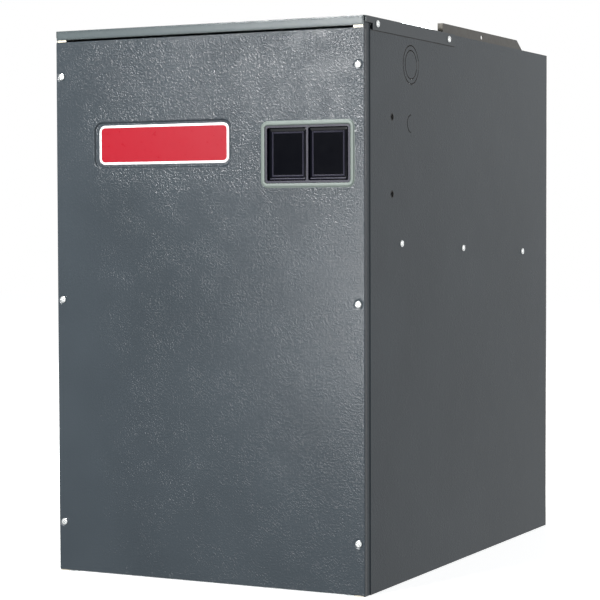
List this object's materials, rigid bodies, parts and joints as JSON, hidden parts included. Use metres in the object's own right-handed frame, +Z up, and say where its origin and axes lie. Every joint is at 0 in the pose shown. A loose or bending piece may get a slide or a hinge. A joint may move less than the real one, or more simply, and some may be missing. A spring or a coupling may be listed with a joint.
{
  "type": "modular air handler",
  "caption": "Upright sheet-metal air handler cabinet with a screwed front access panel, breaker covers, scroll blower, electric heater and supply duct flanges.",
  "frame": {"origin": "centre of the cabinet's footprint, on the floor plane under the base", "axes": "+Z up, the access panel faces -Y, the blower wheel's axis lies along X"},
  "size_m": [0.4852, 0.7047, 0.775],
  "materials": {
    "cabinet_paint": "textured satin enamel",
    "galvanised_steel": "spangled zinc",
    "flange_steel": "satin",
    "foil_blanket": "crinkled foil",
    "zinc_screw": "bright zinc",
    "badge_enamel": "gloss",
    "black_abs": "gloss",
    "breaker_phenolic": "matt",
    "toggle_plastic": "satin",
    "wheel_steel": "galvanised",
    "shaft_steel": "ground",
    "motor_paint": "satin",
    "bell_aluminium": "cast",
    "rubber_mount": "matt",
    "capacitor_can": "drawn",
    "board_laminate": "solder mask",
    "relay_plastic": "moulded",
    "terminal_plastic": "moulded",
    "core_laminations": "varnished",
    "coil_tape": "taped",
    "heater_steel": "galvanised",
    "steatite": "unglazed",
    "nichrome": "oxidised wire",
    "switch_phenolic": "moulded"
  },
  "bodies": {
    "cabinet": {"side_panel_right": "cabinet_paint", "side_panel_left": "cabinet_paint", "back_panel": "cabinet_paint", "top_front_cover": "cabinet_paint", "base_rail_right": "galvanised_steel", "base_rail_left": "galvanised_steel", "base_cross_rails": "galvanised_steel", "blower_deck": "galvanised_steel", "blower_rails": "galvanised_steel", "top_rear_cover": "galvanised_steel", "partition_wall": "galvanised_steel", "supply_flange_right": "flange_steel", "supply_flange_left": "flange_steel", "insulation_right": "foil_blanket", "insulation_left": "foil_blanket", "insulation_back": "foil_blanket", "deck_screws": "zinc_screw", "top_cover_screws": "zinc_screw", "back_screws": "zinc_screw", "blower_side_right": "wheel_steel", "blower_side_left": "wheel_steel", "scroll_wrap": "wheel_steel", "cutoff_plate": "wheel_steel", "inlet_ring_right": "wheel_steel", "inlet_ring_left": "wheel_steel", "motor_shell": "motor_paint", "motor_end_bells": "bell_aluminium", "motor_arms": "galvanised_steel", "motor_grommets": "rubber_mount", "motor_band": "galvanised_steel", "run_capacitor": "capacitor_can", "capacitor_strap": "galvanised_steel", "circuit_breaker_left": "breaker_phenolic", "circuit_breaker_right": "breaker_phenolic", "control_panel": "galvanised_steel", "control_board": "board_laminate", "board_relays": "relay_plastic", "low_voltage_terminals": "terminal_plastic", "transformer_core": "core_laminations", "transformer_coil": "coil_tape", "heater_plate": "heater_steel", "element_racks": "heater_steel", "element_insulators": "steatite", "heating_elements": "nichrome", "limit_switch": "switch_phenolic", "sequencers": "switch_phenolic"},
    "wheel": {"wheel_blades": "wheel_steel", "wheel_end_rings": "wheel_steel", "wheel_disc": "wheel_steel", "wheel_hub": "shaft_steel", "motor_shaft": "shaft_steel"},
    "panel": {"access_panel": "cabinet_paint", "access_panel_screws": "zinc_screw", "access_panel_insulation": "foil_blanket", "badge_plate": "badge_enamel", "breaker_bezel": "black_abs"},
    "cover_left": {"breaker_cover_left": "black_abs"},
    "cover_right": {"breaker_cover_right": "black_abs"},
    "toggle_left": {"breaker_toggle_left": "toggle_plastic"},
    "toggle_right": {"breaker_toggle_right": "toggle_plastic"}
  },
  "joints": [
    {"name": "wheel_spin", "type": "hinge", "parent": "cabinet", "child": "wheel", "pos_m": [0, 0.01, 0.225], "axis": [1, 0, 0], "continuous": true},
    {"name": "panel_lift_off", "type": "slide", "parent": "cabinet", "child": "panel", "axis": [0, -1, 0], "range_m": [0, 0.25]},
    {"name": "cover_left_pull", "type": "slide", "parent": "panel", "child": "cover_left", "axis": [0, -1, 0], "range_m": [0, 0.04]},
    {"name": "cover_right_pull", "type": "slide", "parent": "panel", "child": "cover_right", "axis": [0, -1, 0], "range_m": [0, 0.04]},
    {"name": "breaker_left", "type": "hinge", "parent": "cabinet", "child": "toggle_left", "pos_m": [0.12505, -0.31, 0.5832], "axis": [1, 0, 0], "range_deg": [0, 36]},
    {"name": "breaker_right", "type": "hinge", "parent": "cabinet", "child": "toggle_right", "pos_m": [0.18655, -0.31, 0.5832], "axis": [1, 0, 0], "range_deg": [0, 36]}
  ]
}
